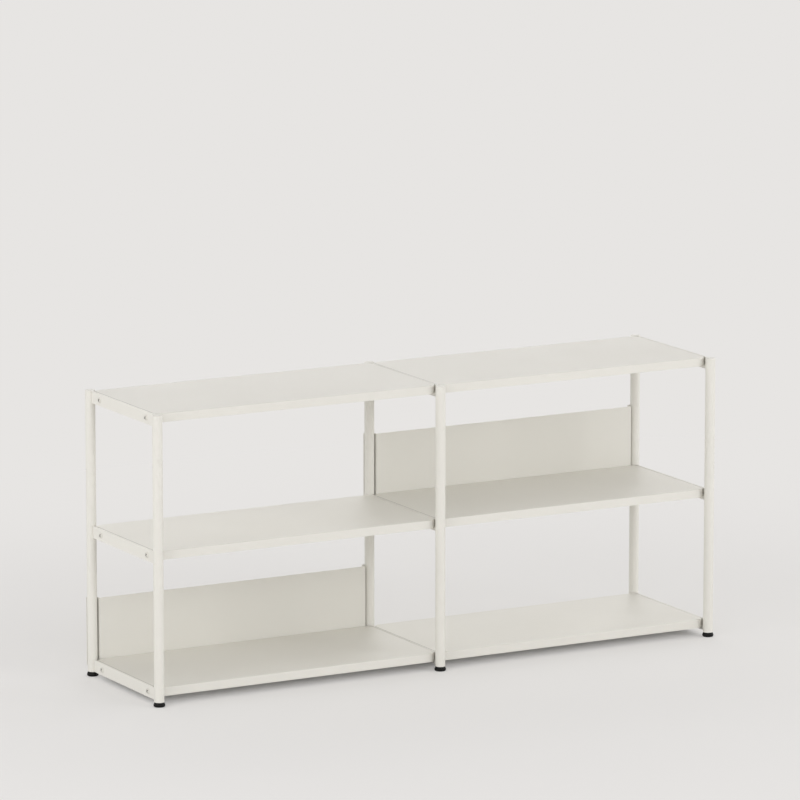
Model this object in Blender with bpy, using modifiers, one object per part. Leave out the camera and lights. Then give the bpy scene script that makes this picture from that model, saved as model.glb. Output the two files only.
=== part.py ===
# Shelving unit: three ladder frames of round posts and flat cross plates carry six folded
# pan trays. Two low back panels hook behind the posts. Each post stands on a levelling foot.
import math

import bmesh
import bpy
from mathutils import Matrix

# Overall layout, in metres
BAY_PITCH = 0.78525
BAY_COUNT = 2
POST_DEPTH_PITCH = 0.3705
TOP_HEIGHT = 0.725
LEVEL_PITCH = 0.341
LEVEL_COUNT = 3

# Clearance left between pieces that touch, and round a stud in its thread
FIT_GAP = 0.0003
STUD_CLEARANCE = 0.0001

# Posts: tubes closed by a flat top
POST_RADIUS = 0.0125
POST_WALL = 0.0015
POST_TOP_THICKNESS = 0.002
POST_EDGE = 0.0004
POST_STEPS = 28

# Levelling feet and the threaded inserts they turn in
FOOT_RADIUS = 0.01475
FOOT_TOP_RADIUS = 0.0117
FOOT_SOLE_RADIUS = 0.0125
FOOT_WIDEST_HEIGHT = 0.0042
FOOT_LOWER_RADIUS = 0.0141
FOOT_LOWER_HEIGHT = 0.0017
FOOT_PAD_HEIGHT = 0.0112
FOOT_STEPS = 24
STUD_RADIUS = 0.004
STUD_REACH = 0.024
STUD_EDGE = 0.0008
INSERT_HEIGHT = 0.014
INSERT_STEPS = 24

# Cross plates
PLATE_THICKNESS = 0.004
PLATE_HEIGHT = 0.0308
PLATE_EDGE = 0.0004

# Trays, folded from sheet
SHEET = 0.0015
LIP_HEIGHT = 0.0218
FRONT_SETBACK = 0.0125
BACK_SETBACK = 0.0085
TRAY_CORNER_RADIUS = 0.021
TRAY_CORNER_STEPS = 6
TRAY_BEND = 0.0022
TRAY_BEND_STEPS = 3

# Back panels: bay and level of each, counted from the left and from the floor
PANEL_PLACES = ((0, 0), (1, 1))
PANEL_RISE = 0.1555
PANEL_DROP = 0.017
PANEL_END_GAP = 0.0026
PANEL_BEND = 0.0028
PANEL_BEND_STEPS = 3
HOOK_REACH = 0.0094

# Screws through the cross plates: radius, length, head radius, head height, crown of the head
PLATE_SCREW = (0.0025, 0.012, 0.0070, 0.0032, 0.0015)
PLATE_SCREW_FROM_POST = 0.0575
PLATE_SCREW_DROP = 0.016

# Screws through the tray's back lip into a back panel
PANEL_SCREW = (0.0015, 0.007, 0.003, 0.0019, 0.0007)
PANEL_SCREW_FROM_END = 0.12
PANEL_SCREW_DROP = 0.0115

# The crown's inner ring, as a share of the head radius and of the crown's height
CROWN_RING_SPREAD = 0.6
CROWN_RING_DROP = 0.35
SCREW_STEPS = 12
HOLE_STEPS = 12
CUT_REACH = 0.02

# Faces that meet at more than this many degrees get a sharp edge or a bevel
SHARP_ANGLE = 38.0
MERGE_DISTANCE = 0.00001

# Places that follow from the sizes above
FRAME_X = [(index - BAY_COUNT / 2) * BAY_PITCH for index in range(BAY_COUNT + 1)]
BAY_X = [(FRAME_X[index] + FRAME_X[index + 1]) / 2 for index in range(BAY_COUNT)]
LEVEL_Z = [TOP_HEIGHT - (LEVEL_COUNT - 1 - index) * LEVEL_PITCH for index in range(LEVEL_COUNT)]
FRONT_Y = -POST_DEPTH_PITCH / 2
BACK_Y = POST_DEPTH_PITCH / 2
POST_BOTTOM = FOOT_PAD_HEIGHT + FIT_GAP
TRAY_FRONT = FRONT_Y + FRONT_SETBACK
TRAY_BACK = BACK_Y - BACK_SETBACK
TRAY_HALF_LENGTH = BAY_PITCH / 2 - PLATE_THICKNESS / 2 - FIT_GAP

FRAME_NAMES = ("left", "middle", "right")
ROW_NAMES = ("front", "back")
ROW_Y = (FRONT_Y, BACK_Y)
BAY_NAMES = ("left", "right")
LEVEL_NAMES = ("bottom", "centre", "top")


# Scene, collections and materials
def clear_scene():
    for item in list(bpy.data.objects):
        bpy.data.objects.remove(item, do_unlink=True)


def make_collection(name):
    collection = bpy.data.collections.new(name)
    bpy.context.scene.collection.children.link(collection)
    return collection


def make_material(name, colour, roughness, metallic):
    material = bpy.data.materials.new(name)
    material.use_nodes = True
    shader = material.node_tree.nodes["Principled BSDF"]
    shader.inputs["Base Color"].default_value = (*colour, 1.0)
    shader.inputs["Roughness"].default_value = roughness
    shader.inputs["Metallic"].default_value = metallic
    return material


clear_scene()
parts = make_collection("shelving_unit")
cutters = make_collection("cutters")
post_paint = make_material("post_paint", (0.76, 0.73, 0.66), 0.45, 0.0)
plate_paint = make_material("plate_paint", (0.77, 0.74, 0.67), 0.45, 0.0)
tray_paint = make_material("tray_paint", (0.75, 0.72, 0.65), 0.5, 0.0)
panel_paint = make_material("panel_paint", (0.75, 0.72, 0.65), 0.5, 0.0)
screw_paint = make_material("screw_paint", (0.74, 0.71, 0.64), 0.4, 0.0)
screw_steel = make_material("screw_steel", (0.62, 0.62, 0.6), 0.3, 1.0)
foot_plastic = make_material("foot_plastic", (0.015, 0.015, 0.016), 0.55, 0.0)
insert_steel = make_material("insert_steel", (0.58, 0.57, 0.54), 0.38, 1.0)


# General helpers
def add_part(name, mesh, location, rotation=(0.0, 0.0, 0.0)):
    item = bpy.data.objects.new(name, mesh)
    parts.objects.link(item)
    item.location = location
    item.rotation_euler = rotation
    return item


def finish_mesh(mesh, material):
    mesh.materials.clear()
    mesh.materials.append(material)
    mesh.shade_smooth()
    mesh.set_sharp_from_angle(angle=math.radians(SHARP_ANGLE))
    return mesh


def turned_mesh(name, profile, closed, steps, material):
    # The profile is a list of (radius, height) that runs down the outer side first
    outline = bpy.data.meshes.new(name + "_outline")
    edges = [(index, index + 1) for index in range(len(profile) - 1)]
    if closed:
        edges.append((len(profile) - 1, 0))
    outline.from_pydata([(radius, 0.0, height) for radius, height in profile], edges, [])
    item = bpy.data.objects.new(name + "_outline", outline)
    bpy.context.scene.collection.objects.link(item)
    turn = item.modifiers.new("Turn", "SCREW")
    turn.steps = steps
    turn.render_steps = steps
    turn.use_merge_vertices = True
    turn.merge_threshold = MERGE_DISTANCE
    graph = bpy.context.evaluated_depsgraph_get()
    mesh = bpy.data.meshes.new_from_object(item.evaluated_get(graph))
    mesh.name = name
    bpy.data.objects.remove(item, do_unlink=True)
    bpy.data.meshes.remove(outline)
    return finish_mesh(mesh, material)


def add_bevel(item, width, segments):
    bevel = item.modifiers.new("Bevel", "BEVEL")
    bevel.width = width
    bevel.segments = segments
    bevel.limit_method = "ANGLE"
    bevel.angle_limit = math.radians(SHARP_ANGLE)
    bevel.use_clamp_overlap = True
    return bevel


def add_thickness(item, thickness):
    solidify = item.modifiers.new("Sheet", "SOLIDIFY")
    solidify.thickness = thickness
    solidify.offset = -1.0
    solidify.use_even_offset = True
    return solidify


def add_cut(item, cutter):
    cut = item.modifiers.new("Holes", "BOOLEAN")
    cut.operation = "DIFFERENCE"
    cut.solver = "EXACT"
    cut.object = cutter
    return cut


def add_cutter(name, radius, centres, axis):
    # One round bar through each centre, along the axis given
    mesh = bpy.data.meshes.new(name)
    shape = bmesh.new()
    turn = Matrix.Rotation(math.radians(90.0), 4, "Y" if axis == "X" else "X")
    for centre in centres:
        bmesh.ops.create_cone(
            shape,
            cap_ends=True,
            segments=HOLE_STEPS,
            radius1=radius,
            radius2=radius,
            depth=2 * CUT_REACH,
            matrix=Matrix.Translation(centre) @ turn,
        )
    shape.to_mesh(mesh)
    shape.free()
    item = bpy.data.objects.new(name, mesh)
    cutters.objects.link(item)
    item.hide_render = True
    item.display_type = "WIRE"
    return item


# Posts
def post_mesh():
    bore = POST_RADIUS - POST_WALL
    profile = [
        (0.0, TOP_HEIGHT),
        (POST_RADIUS - POST_EDGE, TOP_HEIGHT),
        (POST_RADIUS, TOP_HEIGHT - POST_EDGE),
        (POST_RADIUS, POST_BOTTOM),
        (bore, POST_BOTTOM),
        (bore, TOP_HEIGHT - POST_TOP_THICKNESS),
        (0.0, TOP_HEIGHT - POST_TOP_THICKNESS),
    ]
    return turned_mesh("post", profile, False, POST_STEPS, post_paint)


def insert_mesh():
    outer = POST_RADIUS - POST_WALL - FIT_GAP
    inner = STUD_RADIUS + STUD_CLEARANCE
    profile = [(outer, INSERT_HEIGHT), (outer, 0.0), (inner, 0.0), (inner, INSERT_HEIGHT)]
    return turned_mesh("insert", profile, True, INSERT_STEPS, insert_steel)


def foot_mesh():
    profile = [
        (0.0, FOOT_PAD_HEIGHT + STUD_REACH),
        (STUD_RADIUS - STUD_EDGE, FOOT_PAD_HEIGHT + STUD_REACH),
        (STUD_RADIUS, FOOT_PAD_HEIGHT + STUD_REACH - STUD_EDGE),
        (STUD_RADIUS, FOOT_PAD_HEIGHT),
        (FOOT_TOP_RADIUS - POST_EDGE, FOOT_PAD_HEIGHT),
        (FOOT_TOP_RADIUS, FOOT_PAD_HEIGHT - POST_EDGE),
        (FOOT_RADIUS, FOOT_WIDEST_HEIGHT),
        (FOOT_LOWER_RADIUS, FOOT_LOWER_HEIGHT),
        (FOOT_SOLE_RADIUS, 0.0),
        (0.0, 0.0),
    ]
    return turned_mesh("foot", profile, False, FOOT_STEPS, foot_plastic)


def build_posts():
    tube = post_mesh()
    insert = insert_mesh()
    foot = foot_mesh()
    for frame, x in zip(FRAME_NAMES, FRAME_X):
        for row, y in zip(ROW_NAMES, ROW_Y):
            add_part(f"post_{frame}_{row}", tube, (x, y, 0.0))
            add_part(f"insert_{frame}_{row}", insert, (x, y, POST_BOTTOM))
            add_part(f"foot_{frame}_{row}", foot, (x, y, 0.0))


# Cross plates
def plate_mesh():
    length = POST_DEPTH_PITCH - 2 * (POST_RADIUS + FIT_GAP)
    mesh = bpy.data.meshes.new("cross_plate")
    shape = bmesh.new()
    bmesh.ops.create_cube(shape, size=1.0)
    bmesh.ops.scale(shape, vec=(PLATE_THICKNESS, length, PLATE_HEIGHT), verts=shape.verts)
    bmesh.ops.translate(shape, vec=(0.0, 0.0, -PLATE_HEIGHT / 2), verts=shape.verts)
    shape.to_mesh(mesh)
    shape.free()
    return finish_mesh(mesh, plate_paint)


def plate_screw_centres(x):
    reach = POST_DEPTH_PITCH / 2 - PLATE_SCREW_FROM_POST
    return [(x, side * reach, z - PLATE_SCREW_DROP) for z in LEVEL_Z for side in (-1, 1)]


def build_cross_plates(frame_cutters):
    mesh = plate_mesh()
    for frame, x, cutter in zip(FRAME_NAMES, FRAME_X, frame_cutters):
        for level, z in zip(LEVEL_NAMES, LEVEL_Z):
            plate = add_part(f"cross_plate_{frame}_{level}", mesh, (x, 0.0, z))
            add_bevel(plate, PLATE_EDGE, 1)
            add_cut(plate, cutter)


# Trays
def rounded_outline(half_length, front, back, radius, steps):
    # Corner points anticlockwise from the front right corner, seen from above
    corners = [
        (half_length - radius, front + radius, -90.0),
        (half_length - radius, back - radius, 0.0),
        (-half_length + radius, back - radius, 90.0),
        (-half_length + radius, front + radius, 180.0),
    ]
    points = []
    for x, y, start in corners:
        for step in range(steps + 1):
            angle = math.radians(start + 90.0 * step / steps)
            points.append((x + radius * math.cos(angle), y + radius * math.sin(angle)))
    return points


def tray_mesh():
    outline = rounded_outline(
        TRAY_HALF_LENGTH, TRAY_FRONT, TRAY_BACK, TRAY_CORNER_RADIUS, TRAY_CORNER_STEPS
    )
    mesh = bpy.data.meshes.new("tray")
    shape = bmesh.new()
    upper = [shape.verts.new((x, y, 0.0)) for x, y in outline]
    lower = [shape.verts.new((x, y, -LIP_HEIGHT)) for x, y in outline]
    shape.faces.new(upper)
    for index in range(len(outline)):
        following = (index + 1) % len(outline)
        shape.faces.new((upper[following], upper[index], lower[index], lower[following]))
    shape.to_mesh(mesh)
    shape.free()
    return finish_mesh(mesh, tray_paint)


def build_trays(frame_cutters, panel_cutters):
    mesh = tray_mesh()
    for bay, bay_name in enumerate(BAY_NAMES):
        for level, level_name in enumerate(LEVEL_NAMES):
            tray = add_part(f"tray_{bay_name}_{level_name}", mesh, (BAY_X[bay], 0.0, LEVEL_Z[level]))
            add_bevel(tray, TRAY_BEND, TRAY_BEND_STEPS)
            add_thickness(tray, SHEET)
            add_cut(tray, frame_cutters[bay])
            add_cut(tray, frame_cutters[bay + 1])
            if (bay, level) in panel_cutters:
                add_cut(tray, panel_cutters[(bay, level)])


# Back panels
def panel_mesh():
    hook_x = BAY_PITCH / 2 + HOOK_REACH
    end_x = BAY_PITCH / 2 - POST_RADIUS - PANEL_END_GAP
    front = TRAY_BACK + FIT_GAP
    back = BACK_Y + POST_RADIUS + FIT_GAP
    path = [
        (-hook_x, back),
        (-end_x, back),
        (-end_x, front),
        (end_x, front),
        (end_x, back),
        (hook_x, back),
    ]
    mesh = bpy.data.meshes.new("back_panel")
    shape = bmesh.new()
    lower = [shape.verts.new((x, y, -PANEL_DROP)) for x, y in path]
    upper = [shape.verts.new((x, y, PANEL_RISE)) for x, y in path]
    for index in range(len(path) - 1):
        shape.faces.new((lower[index], lower[index + 1], upper[index + 1], upper[index]))
    shape.to_mesh(mesh)
    shape.free()
    return finish_mesh(mesh, panel_paint)


def panel_screw_centres(bay, level):
    reach = BAY_PITCH / 2 - PANEL_SCREW_FROM_END
    height = LEVEL_Z[level] - PANEL_SCREW_DROP
    return [(BAY_X[bay] + side * reach, TRAY_BACK, height) for side in (-1, 1)]


def build_back_panels(panel_cutters):
    mesh = panel_mesh()
    for bay, level in PANEL_PLACES:
        name = f"back_panel_{BAY_NAMES[bay]}_{LEVEL_NAMES[level]}"
        panel = add_part(name, mesh, (BAY_X[bay], 0.0, LEVEL_Z[level]))
        add_bevel(panel, PANEL_BEND, PANEL_BEND_STEPS)
        add_thickness(panel, SHEET)
        add_cut(panel, panel_cutters[(bay, level)])


# Screws
def screw_mesh(name, sizes, material):
    radius, length, head_radius, head_height, crown = sizes
    profile = [
        (0.0, head_height),
        (head_radius * CROWN_RING_SPREAD, head_height - crown * CROWN_RING_DROP),
        (head_radius, head_height - crown - POST_EDGE),
        (head_radius, 0.0),
        (radius, 0.0),
        (radius, -length),
        (0.0, -length),
    ]
    return turned_mesh(name, profile, False, SCREW_STEPS, material)


def build_plate_screws():
    painted = screw_mesh("plate_screw", PLATE_SCREW, screw_paint)
    outer_seat = PLATE_THICKNESS / 2 + FIT_GAP
    inner_seat = outer_seat + SHEET + FIT_GAP
    seats = {"left": -outer_seat, "middle": -inner_seat, "right": outer_seat}
    for frame, x in zip(FRAME_NAMES, FRAME_X):
        turn = math.radians(90.0 if frame == "right" else -90.0)
        for index, centre in enumerate(plate_screw_centres(x)):
            name = f"screw_{frame}_{LEVEL_NAMES[index // 2]}_{ROW_NAMES[index % 2]}"
            add_part(name, painted, (x + seats[frame], centre[1], centre[2]), (0.0, turn, 0.0))


def build_panel_screws():
    plain = screw_mesh("panel_screw", PANEL_SCREW, screw_steel)
    seat = TRAY_BACK - SHEET - FIT_GAP
    for bay, level in PANEL_PLACES:
        for side, centre in zip(BAY_NAMES, panel_screw_centres(bay, level)):
            name = f"panel_screw_{BAY_NAMES[bay]}_{LEVEL_NAMES[level]}_{side}"
            add_part(name, plain, (centre[0], seat, centre[2]), (math.radians(90.0), 0.0, 0.0))


# Assembly
plate_hole = PLATE_SCREW[0] + FIT_GAP
panel_hole = PANEL_SCREW[0] + FIT_GAP
frame_cuts = [
    add_cutter(f"holes_{name}_frame", plate_hole, plate_screw_centres(x), "X")
    for name, x in zip(FRAME_NAMES, FRAME_X)
]
panel_cuts = {
    place: add_cutter(f"holes_panel_{BAY_NAMES[place[0]]}", panel_hole, panel_screw_centres(*place), "Y")
    for place in PANEL_PLACES
}
build_posts()
build_cross_plates(frame_cuts)
build_trays(frame_cuts, panel_cuts)
build_back_panels(panel_cuts)
build_plate_screws()
build_panel_screws()
cutters.hide_render = True
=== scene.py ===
import math

import bmesh
import bpy
from mathutils import Matrix, Vector


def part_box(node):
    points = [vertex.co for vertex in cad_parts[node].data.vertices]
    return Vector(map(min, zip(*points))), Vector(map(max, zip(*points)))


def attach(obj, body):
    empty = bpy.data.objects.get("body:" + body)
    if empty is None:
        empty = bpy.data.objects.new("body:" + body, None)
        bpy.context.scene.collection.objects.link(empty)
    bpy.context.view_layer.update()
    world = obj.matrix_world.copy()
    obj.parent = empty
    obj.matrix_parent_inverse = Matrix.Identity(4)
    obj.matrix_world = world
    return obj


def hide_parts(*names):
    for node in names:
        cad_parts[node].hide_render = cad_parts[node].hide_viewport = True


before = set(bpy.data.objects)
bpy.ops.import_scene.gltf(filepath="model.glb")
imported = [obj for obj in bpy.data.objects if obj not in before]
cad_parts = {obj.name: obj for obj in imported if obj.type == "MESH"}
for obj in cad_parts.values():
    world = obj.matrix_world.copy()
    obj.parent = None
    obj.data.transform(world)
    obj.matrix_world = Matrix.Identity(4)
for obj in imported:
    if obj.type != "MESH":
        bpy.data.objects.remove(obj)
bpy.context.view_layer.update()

print("loaded", len(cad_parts), "CAD nodes")

frameNames = ("left", "middle", "right")
rowNames = ("front", "back")
bayNames = ("left", "right")
levelNames = ("bottom", "centre", "top")
bayEnds = {"left": ("left", "middle"), "right": ("middle", "right")}
panelPlaces = (("left", "bottom"), ("right", "centre"))

facing = 0.9            # a normal with this much of an axis in it faces that way
upright = 0.01          # an edge that climbs further than this stands upright
samePlace = 0.0001      # closer than this is the same place
weld = 0.00001          # points closer than this become one


# a CAD node's lowest and highest corner, and its middle
def boxOf(node):
    low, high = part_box(node)
    return low, high, (low + high) / 2


# small tools for modelling in edit mode
def deselectAll():
    bpy.ops.object.select_all(action="DESELECT")


def makeActive(piece):
    deselectAll()
    bpy.context.view_layer.objects.active = piece
    piece.select_set(True)


def openEdit(piece):
    makeActive(piece)
    bpy.ops.object.mode_set(mode="EDIT")
    bpy.ops.mesh.select_all(action="DESELECT")


def closeEdit():
    bpy.ops.object.mode_set(mode="OBJECT")


def pickFaces(piece, test):
    # test gets each face's middle and normal
    bpy.ops.mesh.select_mode(type="FACE")
    bpy.ops.mesh.select_all(action="DESELECT")
    shape = bmesh.from_edit_mesh(piece.data)
    for face in shape.faces:
        if test(face.calc_center_median(), face.normal):
            face.select_set(True)
    bmesh.update_edit_mesh(piece.data)


def pickEdges(piece, test):
    # test gets each edge's two ends
    bpy.ops.mesh.select_mode(type="EDGE")
    bpy.ops.mesh.select_all(action="DESELECT")
    shape = bmesh.from_edit_mesh(piece.data)
    for edge in shape.edges:
        if test(edge.verts[0].co, edge.verts[1].co):
            edge.select_set(True)
    bmesh.update_edit_mesh(piece.data)


def pushOut(distance):
    bpy.ops.mesh.extrude_region_move(TRANSFORM_OT_translate={"value": distance})


def roundEdges(offset, steps):
    bpy.ops.mesh.bevel(offset=offset, segments=steps, affect="EDGES", profile=0.5)


def newCube(name, low, high):
    # a block between two corners, its place kept in the mesh
    deselectAll()
    bpy.ops.mesh.primitive_cube_add(size=1.0, location=(low + high) / 2)
    piece = bpy.context.active_object
    piece.name = name
    piece.scale = high - low
    bpy.ops.object.transform_apply(location=True, rotation=True, scale=True)
    return piece


def newRod(name, radius, start, length, sides, axis="Z"):
    # a round bar that runs from start along an axis
    deselectAll()
    bpy.ops.mesh.primitive_cylinder_add(vertices=sides, radius=radius, depth=length)
    piece = bpy.context.active_object
    piece.name = name
    piece.data.transform(Matrix.Translation((0.0, 0.0, length / 2)))
    if axis == "X":
        piece.data.transform(Matrix.Rotation(math.radians(90.0), 4, "Y"))
    if axis == "Y":
        piece.data.transform(Matrix.Rotation(math.radians(-90.0), 4, "X"))
    piece.data.transform(Matrix.Translation(start))
    return piece


def modify(piece, kind, **settings):
    modifier = piece.modifiers.new(kind.title(), kind)
    for setting, value in settings.items():
        setattr(modifier, setting, value)


def applyAll(piece):
    makeActive(piece)
    for modifier in list(piece.modifiers):
        bpy.ops.object.modifier_apply(modifier=modifier.name)


def thicken(piece, sheet):
    # gives a surface the thickness of its sheet, inwards
    modify(piece, "SOLIDIFY", thickness=sheet, offset=-1.0, use_even_offset=True)
    applyAll(piece)


def cutWith(piece, cutters):
    # bores every cutter out of the piece, then throws the cutters away
    for cutter in cutters:
        modify(piece, "BOOLEAN", operation="DIFFERENCE", solver="EXACT", object=cutter)
        applyAll(piece)
        bpy.data.objects.remove(cutter, do_unlink=True)


def softenEdges(piece, width, segments=2, angle=50.0):
    # rounds the edges that are sharper than the angle
    modify(piece, "BEVEL", width=width, segments=segments, limit_method="ANGLE",
           angle_limit=math.radians(angle), use_clamp_overlap=True)
    applyAll(piece)


def shade(piece, angle=32.0):
    # smooth curves, with flat faces kept flat right up to their bends
    makeActive(piece)
    bpy.ops.object.shade_smooth_by_angle(angle=math.radians(angle))
    modify(piece, "WEIGHTED_NORMAL", keep_sharp=True, weight=50)
    applyAll(piece)


def copyTo(source, name, place, turn=None):
    # a copy with its own mesh, turned and moved there
    piece = bpy.data.objects.new(name, source.data.copy())
    bpy.context.scene.collection.objects.link(piece)
    if turn is not None:
        piece.data.transform(turn)
    piece.data.transform(Matrix.Translation(place))
    return piece


def fit(piece, node, body, slotName):
    # dresses the piece and lets it stand for its CAD node
    piece.data.materials.clear()
    piece.data.materials.append(finishes[slotName])
    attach(piece, body)
    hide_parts(node)


def scaled(colour, share):
    return tuple(value * share for value in colour[:3]) + (1.0,)


# shader maths: a wire is a socket that can be used in sums
class Wire:
    def __init__(self, nodes, socket):
        self.nodes = nodes
        self.socket = socket

    def join(self, operation, first, second):
        return self.nodes.node("Math", {"operation": operation}, {0: first, 1: second})

    def __add__(self, other):
        return self.join("ADD", self, other)

    def __radd__(self, other):
        return self.join("ADD", other, self)

    def __sub__(self, other):
        return self.join("SUBTRACT", self, other)

    def __rsub__(self, other):
        return self.join("SUBTRACT", other, self)

    def __mul__(self, other):
        return self.join("MULTIPLY", self, other)

    def __rmul__(self, other):
        return self.join("MULTIPLY", other, self)

    def larger(self, other):
        return self.join("MAXIMUM", self, other)

    def smaller(self, other):
        return self.join("MINIMUM", self, other)


class Nodes:
    def __init__(self, tree):
        self.tree = tree

    def plug(self, value, socket):
        if isinstance(value, Wire):
            self.tree.links.new(value.socket, socket)
        else:
            socket.default_value = value

    def node(self, kind, settings, sockets, output=0):
        made = self.tree.nodes.new("ShaderNode" + kind)
        for setting, value in settings.items():
            setattr(made, setting, value)
        for socketName, value in sockets.items():
            self.plug(value, made.inputs[socketName])
        return Wire(self, made.outputs[output])

    def blend(self, share, first, second):
        return self.node("Mix", {"data_type": "RGBA"}, {"Factor": share, 6: first, 7: second}, 2)

    def mixShaders(self, share, first, second):
        return self.node("MixShader", {}, {0: share, 1: first, 2: second})

    def seen(self):
        # 1 where the camera looks, straight or by way of metal or glass, else 0
        camera = self.node("LightPath", {}, {}, "Is Camera Ray")
        mirror = self.node("LightPath", {}, {}, "Is Glossy Ray")
        through = self.node("LightPath", {}, {}, "Is Transmission Ray")
        return camera.larger(mirror.larger(through))


class Finish(Nodes):
    def __init__(self, name, roughness, metallic=0.0, **fixed):
        self.material = bpy.data.materials.new(name)
        self.material.use_nodes = True
        super().__init__(self.material.node_tree)
        self.shader = self.tree.nodes["Principled BSDF"]
        self.shader.inputs["Roughness"].default_value = roughness
        self.shader.inputs["Metallic"].default_value = metallic
        for socketName, value in fixed.items():
            self.shader.inputs[socketName.replace("_", " ")].default_value = value

    def place(self):
        return self.node("TexCoord", {}, {}, "Object")

    def noise(self, where, scale, detail=2.0, roughness=0.5):
        sockets = {"Vector": where, "Scale": scale, "Detail": detail, "Roughness": roughness}
        return self.node("TexNoise", {}, sockets)

    def attribute(self, name):
        return self.node("Attribute", {"attribute_name": name}, {}, "Fac")

    def bump(self, height, strength, distance):
        sockets = {"Height": height, "Strength": strength, "Distance": distance}
        return self.node("Bump", {}, sockets)

    def feed(self, socketName, value):
        self.plug(value, self.shader.inputs[socketName])


# powder coat: warm off-white, satin, with a fine orange peel
paint = {
    "light": (0.806, 0.790, 0.737, 1.0),
    "dark": (0.742, 0.725, 0.672, 1.0),
    "roughness": 0.5,
    "gloss": 0.27,
    "cloudScale": 4.0,          # slow drift of the tone, per metre
    "cloudDetail": 3.0,
    "fleckScale": 1400.0,       # fine flecks of the powder
    "fleckDetail": 1.0,
    "cloudShare": 0.55,         # of the tone; flecks have the rest
    "peelScale": 620.0,         # orange peel, about 1.6 mm across
    "peelDetail": 2.0,
    "peelFine": 0.45,
    "grainScale": 2600.0,       # grit on top of it
    "grainDetail": 1.0,
    "peelShare": 0.75,          # of the height; grit has the rest
    "peelDepth": 0.001,
    "peelStrength": 0.6,
    "roughFrom": -0.05,         # how the roughness wanders about its middle
    "roughByCloud": 0.06,
    "roughByGrain": 0.04,
    # painted shade colour for deep in the screws' recesses
    "recess": (0.13, 0.12, 0.108, 1.0),
    # how dark the painted seam shade is, as a share of the dark tone
    "seamShade": 0.6,
}


def powderCoat(name, lightingTone, recess=False, seamShade=False):
    rough = paint["roughness"]
    finish = Finish(name, rough, Specular_IOR_Level=paint["gloss"])
    where = finish.place()
    cloud = finish.noise(where, paint["cloudScale"], paint["cloudDetail"])
    fleck = finish.noise(where, paint["fleckScale"], paint["fleckDetail"])
    peel = finish.noise(where, paint["peelScale"], paint["peelDetail"], paint["peelFine"])
    grain = finish.noise(where, paint["grainScale"], paint["grainDetail"])
    share = cloud * paint["cloudShare"] + fleck * (1.0 - paint["cloudShare"])
    # the part's number lightens or darkens the coat's colours: painted light and shade
    colour = finish.blend(share, scaled(paint["light"], lightingTone), scaled(paint["dark"], lightingTone))
    if recess:
        # painted shade deep in a screw's recess
        colour = finish.blend(finish.attribute("recess"), colour, paint["recess"])
    if seamShade:
        # painted shade in the seam beside a cross plate, down to two bends below the top
        ending = (2.0 - finish.attribute("seamShadeDown")).smaller(1.0).larger(0.0)
        share = finish.attribute("seamShadeAcross") * ending
        colour = finish.blend(share, colour, scaled(paint["dark"], paint["seamShade"]))
    finish.feed("Base Color", colour)
    wander = cloud * paint["roughByCloud"] + grain * paint["roughByGrain"]
    finish.feed("Roughness", rough + paint["roughFrom"] + wander)
    height = peel * paint["peelShare"] + grain * (1.0 - paint["peelShare"])
    finish.feed("Normal", finish.bump(height, paint["peelStrength"], paint["peelDepth"]))
    return finish.material


# moulded foot: matt black with a faint spark-eroded grain
plastic = {
    "dark": (0.004, 0.004, 0.004, 1.0),
    "light": (0.008, 0.008, 0.008, 1.0),
    "roughness": 0.5,
    "gloss": 0.15,
    "cloudScale": 60.0,
    "grainScale": 1800.0,
    "grainDetail": 3.0,
    "grainFine": 0.6,
    "roughFrom": -0.08,
    "roughByGrain": 0.2,
    "grainDepth": 0.00008,
    "grainStrength": 0.4,
}


def blackPlastic(name):
    rough = plastic["roughness"]
    finish = Finish(name, rough, Specular_IOR_Level=plastic["gloss"])
    where = finish.place()
    grain = finish.noise(where, plastic["grainScale"], plastic["grainDetail"], plastic["grainFine"])
    cloud = finish.noise(where, plastic["cloudScale"])
    finish.feed("Base Color", finish.blend(cloud, plastic["dark"], plastic["light"]))
    finish.feed("Roughness", rough + plastic["roughFrom"] + grain * plastic["roughByGrain"])
    finish.feed("Normal", finish.bump(grain, plastic["grainStrength"], plastic["grainDepth"]))
    return finish.material


# bright steel with the fine rings that turning leaves
steel = {
    "ringScale": 900.0,
    "ringWobble": 0.6,
    "ringDetail": 1.0,
    "ringDepth": 0.00004,
    "ringStrength": 0.25,
    "stainScale": 240.0,
    "stainDetail": 3.0,
    "stainFine": 0.6,
    "stained": 0.82,
    "roughFrom": -0.06,
    "roughByStain": 0.14,
}


def turnedSteel(name, tint, roughness):
    finish = Finish(name, roughness, 1.0)
    where = finish.place()
    sockets = {"Vector": where, "Scale": steel["ringScale"],
               "Distortion": steel["ringWobble"], "Detail": steel["ringDetail"]}
    rings = finish.node("TexWave", {"wave_type": "BANDS", "bands_direction": "Z"}, sockets)
    stain = finish.noise(where, steel["stainScale"], steel["stainDetail"], steel["stainFine"])
    finish.feed("Base Color", finish.blend(stain, tint, scaled(tint, steel["stained"])))
    finish.feed("Roughness", roughness + steel["roughFrom"] + stain * steel["roughByStain"])
    finish.feed("Normal", finish.bump(rings, steel["ringStrength"], steel["ringDepth"]))
    return finish.material


# by the record's material slots; one and the same coat on every part, each number making a part
# lighter or darker: painted light and shade
finishes = {
    "post_paint": powderCoat("post paint", 0.98),
    "plate_paint": powderCoat("plate paint", 1.01),
    "tray_paint": powderCoat("tray paint", 0.98, seamShade=True),
    "panel_paint": powderCoat("panel paint", 0.95),
    "screw_paint": powderCoat("screw paint", 0.985, recess=True),
    "screw_steel": turnedSteel("zinc screw steel", (0.62, 0.62, 0.6, 1.0), 0.3),
    "foot_plastic": blackPlastic("black foot plastic"),
    "insert_steel": turnedSteel("turned insert steel", (0.56, 0.55, 0.52, 1.0), 0.34),
}
print("finishes made:", len(finishes))

# bores: one size for the plates' screws, a finer one for the back panels' screws
hole = {"radius": 0.0028, "sides": 32, "reach": 0.015}
panelHole = {"radius": 0.0018, "sides": 24, "reach": 0.01}


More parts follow.
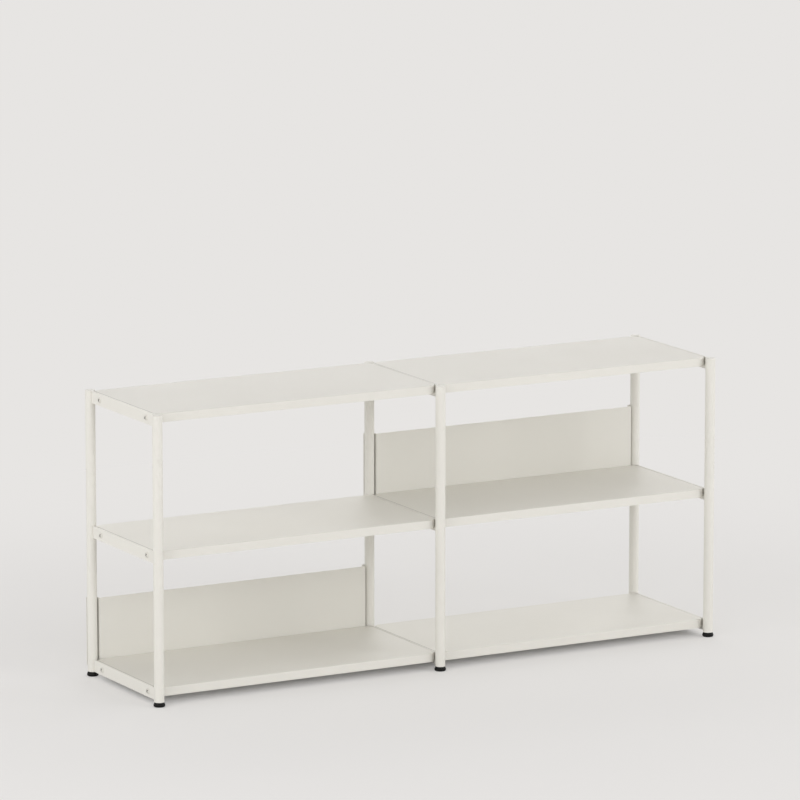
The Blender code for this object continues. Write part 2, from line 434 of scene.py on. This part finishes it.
def plateBore(frameName, levelName, rowName):
    centre = boxOf(f"screw_{frameName}_{levelName}_{rowName}")[2]
    start = (centre.x - hole["reach"], centre.y, centre.z)
    return newRod("hole", hole["radius"], start, 2 * hole["reach"], hole["sides"], "X")


def panelBores(bayName, levelName):
    rods = []
    for side in bayNames:
        centre = boxOf(f"panel_screw_{bayName}_{levelName}_{side}")[2]
        start = (centre.x, centre.y - panelHole["reach"], centre.z)
        rods.append(newRod("hole", panelHole["radius"], start, 2 * panelHole["reach"],
                           panelHole["sides"], "Y"))
    return rods


# posts: tubes with a flat closed top
post = {"wall": 0.0015, "topThickness": 0.002, "sides": 96, "edge": 0.00045, "edgeSteps": 3}


def makePost():
    low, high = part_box("post_left_front")
    height = high.z - low.z
    start = (0.0, 0.0, low.z)
    piece = newRod("post source", (high.x - low.x) / 2, start, height, post["sides"])
    openEdit(piece)
    pickFaces(piece, lambda at, normal: normal.z < -facing)
    bpy.ops.mesh.inset(thickness=post["wall"])
    pushOut((0.0, 0.0, height - post["topThickness"]))
    closeEdit()
    softenEdges(piece, post["edge"], post["edgeSteps"])
    shade(piece)
    return piece


source = makePost()
for frameName in frameNames:
    for rowName in rowNames:
        node = f"post_{frameName}_{rowName}"
        middle = boxOf(node)[2]
        piece = copyTo(source, f"tube_{frameName}_{rowName}", (middle.x, middle.y, 0.0))
        fit(piece, node, "frame", "post_paint")
bpy.data.objects.remove(source, do_unlink=True)
print("posts done")

# cross plates, bored for their screws
plate = {"edge": 0.0005, "edgeSteps": 3}

for frameName in frameNames:
    for levelName in levelNames:
        node = f"cross_plate_{frameName}_{levelName}"
        low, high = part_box(node)
        piece = newCube(f"plate_{frameName}_{levelName}", low, high)
        cutWith(piece, [plateBore(frameName, levelName, rowName) for rowName in rowNames])
        softenEdges(piece, plate["edge"], plate["edgeSteps"])
        shade(piece)
        fit(piece, node, "frame", "plate_paint")
print("cross plates done")

# trays: folded pans with rounded corners
tray = {
    "sheet": 0.0015,
    "corner": 0.021,
    "cornerSteps": 20,
    "bend": 0.0022,
    "bendSteps": 6,
    "rawEdge": 0.0002,
    "rawSteps": 2,
    "rawAngle": 70.0,
}


def markSeamShade(piece, low, high):
    # masks for the painted seam shade: the first is 1 at the ends of the tray and fades over half a
    # bend's width from there;
    # the second counts how many bends a point lies below the top
    across = piece.data.attributes.new("seamShadeAcross", "FLOAT", "POINT")
    down = piece.data.attributes.new("seamShadeDown", "FLOAT", "POINT")
    for vertex in piece.data.vertices:
        inward = min(vertex.co.x - low.x, high.x - vertex.co.x)
        share = 2.0 - 2.0 * inward / tray["bend"]
        across.data[vertex.index].value = min(1.0, max(0.0, share))
        down.data[vertex.index].value = (high.z - vertex.co.z) / tray["bend"]


def makeTray(bayName, levelName):
    node = f"tray_{bayName}_{levelName}"
    low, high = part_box(node)
    piece = newCube(f"pan_{bayName}_{levelName}", low, high)
    openEdit(piece)
    pickEdges(piece, lambda a, b: abs(a.z - b.z) > upright)
    roundEdges(tray["corner"], tray["cornerSteps"])
    pickFaces(piece, lambda at, normal: normal.z < -facing)
    bpy.ops.mesh.delete(type="FACE")
    pickEdges(piece, lambda a, b: min(a.z, b.z) > high.z - samePlace)
    roundEdges(tray["bend"], tray["bendSteps"])
    closeEdit()
    thicken(piece, tray["sheet"])
    cutters = [plateBore(frameName, levelName, rowName)
               for frameName in bayEnds[bayName] for rowName in rowNames]
    if (bayName, levelName) in panelPlaces:
        cutters += panelBores(bayName, levelName)
    cutWith(piece, cutters)
    softenEdges(piece, tray["rawEdge"], tray["rawSteps"], tray["rawAngle"])
    shade(piece)
    markSeamShade(piece, low, high)
    fit(piece, node, "frame", "tray_paint")


for bayName in bayNames:
    for levelName in levelNames:
        makeTray(bayName, levelName)
print("trays done")

# back panels: a plain sheet folded back at both ends, with hooks behind the posts
panel = {
    "sheet": 0.0015,
    "bend": 0.0028,
    "bendSteps": 6,
    "endGap": 0.0026,       # from the posts to the panel's front
    "rawEdge": 0.0002,
    "rawSteps": 2,
    "rawAngle": 70.0,
}


def makePanel(bayName, levelName):
    node = f"back_panel_{bayName}_{levelName}"
    low, high, middle = boxOf(node)
    startPost, endPost = bayEnds[bayName]
    left = boxOf(f"post_{startPost}_back")[1].x + panel["endGap"]
    right = boxOf(f"post_{endPost}_back")[0].x - panel["endGap"]
    deselectAll()
    bpy.ops.mesh.primitive_plane_add(size=1.0, rotation=(math.radians(90.0), 0.0, 0.0))
    piece = bpy.context.active_object
    piece.name = f"screen_{bayName}_{levelName}"
    piece.scale = (right - left, high.z - low.z, 1.0)
    piece.location = ((left + right) / 2, low.y, middle.z)
    bpy.ops.object.transform_apply(location=True, rotation=True, scale=True)
    openEdit(piece)
    # back past the posts at each end, then outwards behind them
    depth = high.y - panel["sheet"] - low.y
    for edgeX, reach in ((left, low.x - left), (right, high.x - right)):
        pickEdges(piece, lambda a, b: max(abs(a.x - edgeX), abs(b.x - edgeX)) < samePlace)
        pushOut((0.0, depth, 0.0))
        pushOut((reach, 0.0, 0.0))
    pickEdges(piece, lambda a, b: abs(a.z - b.z) > upright
              and left - samePlace < a.x < right + samePlace)
    roundEdges(panel["bend"], panel["bendSteps"])
    bpy.ops.mesh.select_all(action="SELECT")
    bpy.ops.mesh.normals_make_consistent(inside=False)
    # an open sheet has no outside of its own: the front has to face forwards
    pickFaces(piece, lambda at, normal: abs(at.y - low.y) < samePlace and normal.y > facing)
    shape = bmesh.from_edit_mesh(piece.data)
    if any(face.select for face in shape.faces):
        bpy.ops.mesh.select_all(action="SELECT")
        bpy.ops.mesh.flip_normals()
    closeEdit()
    thicken(piece, panel["sheet"])
    cutWith(piece, panelBores(bayName, levelName))
    softenEdges(piece, panel["rawEdge"], panel["rawSteps"], panel["rawAngle"])
    shade(piece)
    fit(piece, node, "frame", "panel_paint")


for bayName, levelName in panelPlaces:
    makePanel(bayName, levelName)
print("back panels done")

# screws: low domed heads with a cross recess
plateScrew = {
    "radius": 0.0025,
    "length": 0.012,
    "head": 0.007,
    "headHeight": 0.0032,
    "side": 0.0012,         # height of the head's straight side, below the dome
    "recess": 0.0128,
    "slot": 0.0036,
    "depth": 0.0027,
}
panelScrew = {
    "radius": 0.0015,
    "length": 0.007,
    "head": 0.003,
    "headHeight": 0.0019,
    "side": 0.0008,
    "recess": 0.0032,
    "slot": 0.0008,
    "depth": 0.0012,
}
screwShape = {
    "segments": 48,
    "rings": 24,
    "tip": 0.3,                     # the tip narrows by this share of the radius
    "taper": (0.7, 0.7, 1.0),       # how much narrower each slot is at its foot
    "cutTo": 1.5,                   # the cutters reach this many head heights
    "edge": 0.00012,
    # darkBy and darkMargin shape the painted shade in the screw recesses
    "darkBy": 0.0008,               # this far below the dome the tone is fully dark
    "darkMargin": 0.02,             # how far past the slots' ends it may be dark
    "leastTurn": 40.0,              # turns of the heads, in degrees
    "turnStep": 7,
    "turnRange": 11,
}


def markRecessShade(piece, sizes, bottom):
    # how far each point lies below the dome, as the mask of the painted recess shade: 0 on the
    # head, 1 deep in the recess
    crown = sizes["headHeight"] - sizes["side"]
    end = sizes["recess"] / sizes["head"] / 2 + screwShape["darkMargin"]
    depths = piece.data.attributes.new("recess", "FLOAT", "POINT")
    for vertex, depth in zip(piece.data.vertices, depths.data):
        out = math.hypot(vertex.co.x, vertex.co.y) / sizes["head"]
        dome = sizes["side"] + crown * math.sqrt(max(0.0, 1.0 - out * out))
        share = 0.0
        if vertex.co.z > bottom / 2 and out < end:
            share = (dome - vertex.co.z) / screwShape["darkBy"]
        depth.value = min(1.0, max(0.0, share))


def makeScrew(name, sizes):
    # stands on its tip along Z, the underside of its head at zero
    deselectAll()
    bpy.ops.mesh.primitive_uv_sphere_add(segments=screwShape["segments"],
                                         ring_count=screwShape["rings"], radius=1.0)
    piece = bpy.context.active_object
    piece.name = name
    piece.scale = (sizes["head"], sizes["head"], sizes["headHeight"] - sizes["side"])
    piece.location = (0.0, 0.0, sizes["side"])
    bpy.ops.object.transform_apply(location=True, rotation=True, scale=True)
    openEdit(piece)
    bpy.ops.mesh.select_all(action="SELECT")
    bpy.ops.mesh.bisect(plane_co=(0.0, 0.0, sizes["side"]), plane_no=(0.0, 0.0, 1.0),
                        clear_inner=True, use_fill=True)
    pickFaces(piece, lambda at, normal: abs(at.z - sizes["side"]) < weld
              and abs(normal.z) > facing)
    pushOut((0.0, 0.0, -sizes["side"]))
    bpy.ops.mesh.inset(thickness=sizes["head"] - sizes["radius"])
    pushOut((0.0, 0.0, -sizes["length"]))
    tip = sizes["radius"] * screwShape["tip"]
    bpy.ops.mesh.inset(thickness=tip)
    bpy.ops.transform.translate(value=(0.0, 0.0, -tip))
    closeEdit()
    bottom = sizes["headHeight"] - sizes["depth"]
    top = sizes["headHeight"] * screwShape["cutTo"]
    corner = Vector((sizes["recess"] / 2, sizes["slot"] / 2, top))
    for turn in (0.0, 90.0):
        cutter = newCube("slot", Vector((-corner.x, -corner.y, bottom)), corner)
        openEdit(cutter)
        pickFaces(cutter, lambda at, normal: normal.z < -facing)
        bpy.ops.transform.resize(value=screwShape["taper"], center_override=(0.0, 0.0, bottom))
        closeEdit()
        cutter.data.transform(Matrix.Rotation(math.radians(turn), 4, "Z"))
        cutWith(piece, [cutter])
    softenEdges(piece, screwShape["edge"])
    shade(piece)
    markRecessShade(piece, sizes, bottom)
    return piece


def seatScrews(source, sizes, nodes, headTowards, slotName):
    # the underside of each head comes a head's height below the end of its CAD box
    turn = Vector((0.0, 0.0, 1.0)).rotation_difference(Vector(headTowards)).to_matrix().to_4x4()
    for order, node in enumerate(nodes):
        low, high, seat = boxOf(node)
        degrees = screwShape["leastTurn"] + order * screwShape["turnStep"] % screwShape["turnRange"]
        spin = Matrix.Rotation(math.radians(degrees), 4, "Z")
        for axis in range(3):
            if headTowards[axis] > 0:
                seat[axis] = high[axis] - sizes["headHeight"]
            if headTowards[axis] < 0:
                seat[axis] = low[axis] + sizes["headHeight"]
        piece = copyTo(source, node.replace("screw", "bolt"), seat, turn @ spin)
        fit(piece, node, "frame", slotName)


source = makeScrew("plate screw source", plateScrew)
for frameName, headTowards in (("left", (-1, 0, 0)), ("middle", (-1, 0, 0)), ("right", (1, 0, 0))):
    nodes = [f"screw_{frameName}_{levelName}_{rowName}"
             for levelName in levelNames for rowName in rowNames]
    seatScrews(source, plateScrew, nodes, headTowards, "screw_paint")
bpy.data.objects.remove(source, do_unlink=True)
source = makeScrew("panel screw source", panelScrew)
nodes = [f"panel_screw_{bayName}_{levelName}_{side}"
         for bayName, levelName in panelPlaces for side in bayNames]
seatScrews(source, panelScrew, nodes, (0, -1, 0), "screw_steel")
bpy.data.objects.remove(source, do_unlink=True)
print("screws done")

# levelling feet: a moulded pad on a threaded stud
foot = {
    # radius and height of each ring, from the sole up
    "rings": ((0.0125, 0.0), (0.0141, 0.0017), (0.01475, 0.0042),
              (0.0131, 0.0083), (0.0117, 0.0112)),
    "sides": 64,
    "round": 0.0009,
    "roundSteps": 4,
    "roundAngle": 12.0,
    "topRim": 0.0012,
    "smoothBelow": 50.0,
    "studRadius": 0.004,
    "studRoot": 0.00335,
    "pitch": 0.00125,
    "threadSteps": 32,
    "threadSmoothBelow": 30.0,
    "studReach": 0.024,
    "studSunk": 0.001,          # how far the stud goes down into the pad
    "turnAtMiddle": 35.0,       # the feet stand turned, by a little more with each metre
    "turnPerMetre": 25.0,
}
# one tooth of the thread: out from the stud's middle, and up by this share of the pitch
threadProfile = ((foot["studRoot"], 0.0), (foot["studRoot"], 0.12), (foot["studRadius"], 0.46),
                 (foot["studRadius"], 0.58), (foot["studRoot"], 0.92), (foot["studRoot"], 1.0))


def makePad():
    rings = foot["rings"]
    piece = newRod("pad source", rings[0][0], (0.0, 0.0, 0.0), rings[1][1], foot["sides"])
    openEdit(piece)
    pickFaces(piece, lambda at, normal: normal.z > facing)
    for (radius, height), (nextRadius, nextHeight) in zip(rings, rings[1:]):
        if height > 0.0:
            pushOut((0.0, 0.0, nextHeight - height))
        share = nextRadius / radius
        bpy.ops.transform.resize(value=(share, share, 1.0), center_override=(0.0, 0.0, nextHeight))
    bpy.ops.mesh.inset(thickness=foot["topRim"])
    closeEdit()
    softenEdges(piece, foot["round"], foot["roundSteps"], foot["roundAngle"])
    shade(piece, foot["smoothBelow"])
    return piece


def makeStud():
    # one tooth of the thread, swept up a helix and trimmed flat at both ends
    padTop = foot["rings"][-1][1]
    low = padTop - foot["studSunk"]
    high = padTop + foot["studReach"]
    turns = math.ceil((high - low) / foot["pitch"]) + 2
    deselectAll()
    bpy.ops.mesh.primitive_plane_add(size=foot["pitch"])
    piece = bpy.context.active_object
    piece.name = "stud source"
    openEdit(piece)
    bpy.ops.mesh.select_mode(type="VERT")
    bpy.ops.mesh.select_all(action="SELECT")
    bpy.ops.mesh.merge(type="CENTER")
    bpy.ops.transform.translate(value=(threadProfile[0][0], 0.0, low - foot["pitch"]))
    for (out, up), (nextOut, nextUp) in zip(threadProfile, threadProfile[1:]):
        step = (nextOut - out, 0.0, (nextUp - up) * foot["pitch"])
        bpy.ops.mesh.extrude_vertices_move(TRANSFORM_OT_translate={"value": step})
    closeEdit()
    modify(piece, "SCREW", steps=foot["threadSteps"], render_steps=foot["threadSteps"],
           iterations=turns, screw_offset=foot["pitch"],
           use_merge_vertices=True, merge_threshold=weld)
    applyAll(piece)
    openEdit(piece)
    bpy.ops.mesh.select_all(action="SELECT")
    bpy.ops.mesh.remove_doubles(threshold=weld)
    bpy.ops.mesh.bisect(plane_co=(0.0, 0.0, high), plane_no=(0.0, 0.0, 1.0),
                        clear_outer=True, use_fill=True)
    bpy.ops.mesh.select_all(action="SELECT")
    bpy.ops.mesh.bisect(plane_co=(0.0, 0.0, low), plane_no=(0.0, 0.0, 1.0),
                        clear_inner=True, use_fill=True)
    bpy.ops.mesh.select_all(action="SELECT")
    bpy.ops.mesh.normals_make_consistent(inside=False)
    closeEdit()
    shade(piece, foot["threadSmoothBelow"])
    return piece


padSource = makePad()
studSource = makeStud()
for frameName in frameNames:
    for rowName in rowNames:
        node = f"foot_{frameName}_{rowName}"
        middle = boxOf(node)[2]
        place = (middle.x, middle.y, 0.0)
        degrees = foot["turnAtMiddle"] + foot["turnPerMetre"] * middle.x
        spin = Matrix.Rotation(math.radians(degrees), 4, "Z")
        fit(copyTo(padSource, f"pad_{frameName}_{rowName}", place, spin),
            node, node, "foot_plastic")
        fit(copyTo(studSource, f"stud_{frameName}_{rowName}", place, spin),
            node, node, "insert_steel")
bpy.data.objects.remove(padSource, do_unlink=True)
bpy.data.objects.remove(studSource, do_unlink=True)
print("feet done")

# the threaded inserts keep their CAD shape and get their steel
for frameName in frameNames:
    for rowName in rowNames:
        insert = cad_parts[f"insert_{frameName}_{rowName}"]
        for slot in insert.material_slots:
            slot.material = finishes["insert_steel"]

# floor: lit and shadowed near the unit, fading into the plain backdrop further out
stage = {
    "floor": (0.886, 0.879, 0.873, 1.0),
    "floorRough": 0.8,
    "speckleScale": 6.0,
    "speckle": 0.995,
    "backdrop": (0.799, 0.783, 0.767, 1.0),
    "radius": 60.0,
    "sides": 96,
    "below": 0.0001,                    # the floor lies this far under the soles
    "footprint": (0.74, 0.1, 0.0),      # distances are from this half size outwards
    "underGlow": 0.1,                   # the backdrop's share under the unit
    "leastGlow": 0.3,                   # and beside it
    "nearTo": 0.075,                    # leastGlow is reached this far out
    "litTo": 0.5,                       # the share grows from here
    "fadedFrom": 2.4,                   # and all is backdrop from here
    "lowLight": (0.81, 0.815, 0.82, 1.0),           # round light from low down
    "overheadLight": (0.43, 0.412, 0.394, 1.0),     # and from straight above
}


def makeFloor():
    deselectAll()
    bpy.ops.mesh.primitive_circle_add(vertices=stage["sides"], radius=stage["radius"],
                                      fill_type="NGON")
    floor = bpy.context.active_object
    floor.name = "studioFloor"
    floor.data.transform(Matrix.Translation((0.0, 0.0, -stage["below"])))
    finish = Finish("studio floor", stage["floorRough"], Specular_IOR_Level=0.0)
    where = finish.place()
    speckle = finish.noise(where, stage["speckleScale"])
    darker = scaled(stage["floor"], stage["speckle"])
    finish.feed("Base Color", finish.blend(speckle, stage["floor"], darker))
    # how far outside the unit's footprint, and zero within it
    corner = stage["footprint"]
    folded = finish.node("VectorMath", {"operation": "ABSOLUTE"}, {0: where})
    beyond = finish.node("VectorMath", {"operation": "SUBTRACT"}, {0: folded, 1: corner})
    outside = finish.node("VectorMath", {"operation": "MAXIMUM"}, {0: beyond, 1: (0.0, 0.0, 0.0)})
    far = finish.node("VectorMath", {"operation": "LENGTH"}, {0: outside}, 1)
    smooth = {"interpolation_type": "SMOOTHSTEP"}
    near = finish.node("MapRange", smooth, {
        "Value": far, "From Max": stage["nearTo"],
        "To Min": stage["underGlow"], "To Max": stage["leastGlow"]})
    rest = finish.node("MapRange", smooth, {
        "Value": far, "From Min": stage["litTo"], "From Max": stage["fadedFrom"],
        "To Max": 1.0 - stage["leastGlow"]})
    # the glow is only looked at, and lights nothing
    fade = (near + rest) * finish.seen()
    glow = finish.node("Emission", {}, {"Color": stage["backdrop"], "Strength": 1.0})
    lit = Wire(finish, finish.shader.outputs[0])
    surface = finish.tree.nodes["Material Output"].inputs["Surface"]
    finish.plug(finish.mixShaders(fade, lit, glow), surface)
    floor.data.materials.append(finish.material)


def makeWorld():
    # dim all round light; the camera and reflections see the backdrop's own tone
    world = bpy.data.worlds.new("studio")
    world.use_nodes = True
    sky = Nodes(world.node_tree)
    way = sky.node("TexCoord", {}, {}, "Generated")
    height = sky.node("SeparateXYZ", {}, {0: way}, "Z")
    lightingTone = sky.blend(height, stage["lowLight"], stage["overheadLight"])
    roundLight = sky.tree.nodes["Background"]
    sky.plug(lightingTone, roundLight.inputs["Color"])
    soft = Wire(sky, roundLight.outputs[0])
    backdrop = sky.node("Background", {}, {"Color": stage["backdrop"]})
    surface = sky.tree.nodes["World Output"].inputs["Surface"]
    sky.plug(sky.mixShaders(sky.seen(), soft, backdrop), surface)
    bpy.context.scene.world = world


# soft boxes on all sides
lamps = {
    "left": {"at": (-6.0, -1.5, 2.6), "size": (5.0, 4.0), "power": 118.0},
    "frontLeft": {"at": (-3.0, -6.5, 2.6), "size": (5.0, 4.0), "power": 74.0},
    "frontRight": {"at": (4.5, -5.5, 2.4), "size": (2.6, 2.2), "power": 108.0},
    "right": {"at": (6.0, 0.0, 2.2), "size": (5.0, 4.0), "power": 60.0},
    "back": {"at": (1.8, 6.0, 2.2), "size": (7.0, 3.5), "power": 112.0},
}
lampAim = Vector((0.0, 0.0, 0.3))


def makeLamps():
    for name, values in lamps.items():
        lamp = bpy.data.lights.new(name + " softbox", "AREA")
        lamp.shape = "RECTANGLE"
        lamp.size, lamp.size_y = values["size"]
        lamp.energy = values["power"]
        holder = bpy.data.objects.new(name + " softbox", lamp)
        bpy.context.scene.collection.objects.link(holder)
        holder.location = values["at"]
        aim = lampAim - Vector(values["at"])
        holder.rotation_euler = aim.to_track_quat("-Z", "Y").to_euler()


makeFloor()
makeWorld()
makeLamps()
print("stage and lamps done")

# camera at the photograph's view
view = {
    "at": (-7.2908, -13.2377, 3.574),
    "pitch": 10.921,
    "yaw": 28.801,
    "focal": 276.174,
    "sensor": 36.0,
    "sees": 200.0,
}
lens = bpy.data.cameras.new("photo camera")
lens.lens = view["focal"]
lens.sensor_width = view["sensor"]
lens.clip_end = view["sees"]
camera = bpy.data.objects.new("photo camera", lens)
bpy.context.scene.collection.objects.link(camera)
camera.location = view["at"]
camera.rotation_euler = (math.radians(90.0 - view["pitch"]), 0.0, math.radians(-view["yaw"]))
bpy.context.scene.camera = camera
bpy.context.scene.view_settings.view_transform = "Standard"

print("scene done")
